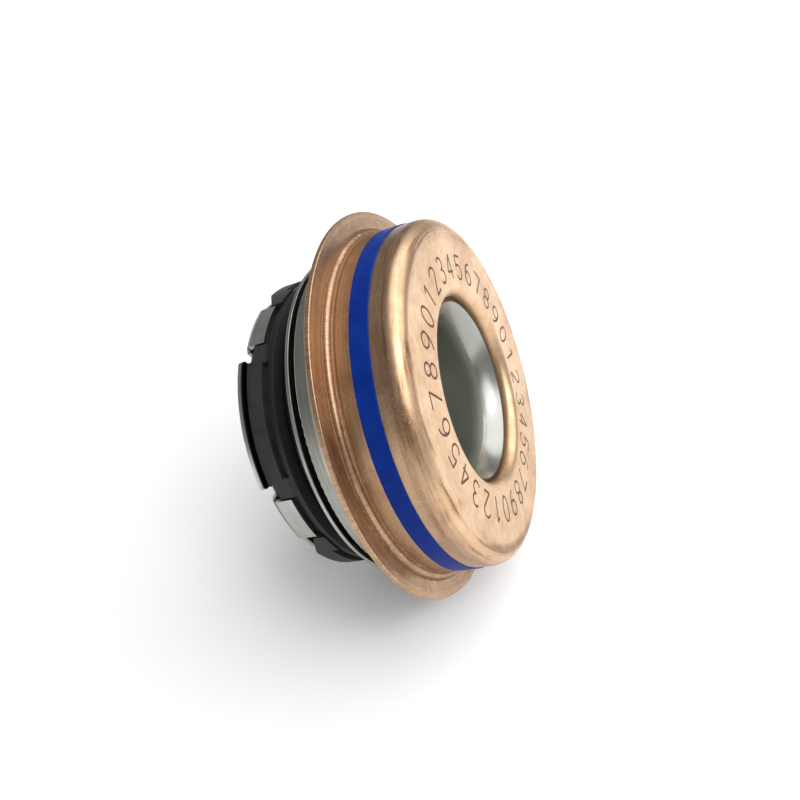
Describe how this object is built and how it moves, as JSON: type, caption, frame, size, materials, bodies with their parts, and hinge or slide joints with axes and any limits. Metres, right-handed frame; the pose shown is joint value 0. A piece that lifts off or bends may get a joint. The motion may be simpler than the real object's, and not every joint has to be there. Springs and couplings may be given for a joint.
{
  "type": "mechanical shaft seal",
  "caption": "Spring-loaded mechanical shaft seal cartridge that keeps coolant in where a pump's shaft passes through its housing.",
  "frame": {"origin": "centre of the outer face of the sleeve's end plate, which the part stands on", "axes": "+Z along the shaft, from the sleeve's end plate to the brass face; the two ears of the end plate lie on -Y and +Y"},
  "size_m": [0.042, 0.042, 0.019],
  "materials": {
    "housing": "drawn brass sheet, warm and slightly pink, satin with fine handling marks",
    "sealant_band": "dried blue sealing lacquer, soft sheen",
    "bellows": "moulded black rubber",
    "bellows_clamp": "stainless strip",
    "spring": "stainless spring wire with ground ends",
    "spring_shell": "drawn stainless sheet, dull grey",
    "face_retainer": "drawn stainless sheet, bright edge",
    "seal_face": null,
    "mating_ring": null,
    "boot": "moulded black rubber, charcoal on its worn faces",
    "sleeve": "drawn stainless sheet, bright on the flare, dull on the tabs"
  },
  "bodies": {
    "housing": {"housing": "housing", "sealant_band": "sealant_band", "bellows_clamp": "bellows_clamp", "bellows": "bellows", "spring": "spring"},
    "head": {"seal_face": "seal_face", "face_retainer": "face_retainer", "spring_shell": "spring_shell"},
    "rotor": {"mating_ring": "mating_ring", "boot": "boot", "sleeve": "sleeve"}
  },
  "joints": [
    {"name": "spring_travel", "type": "slide", "parent": "housing", "child": "head", "axis": [0, 0, 1], "range_m": [0, 0.0012], "stiffness_N_per_m": 12000, "deforming": ["spring", "bellows"]},
    {"name": "shaft_spin", "type": "hinge", "parent": "head", "child": "rotor", "pos_m": [0, 0, 0], "axis": [0, 0, 1], "continuous": true}
  ]
}
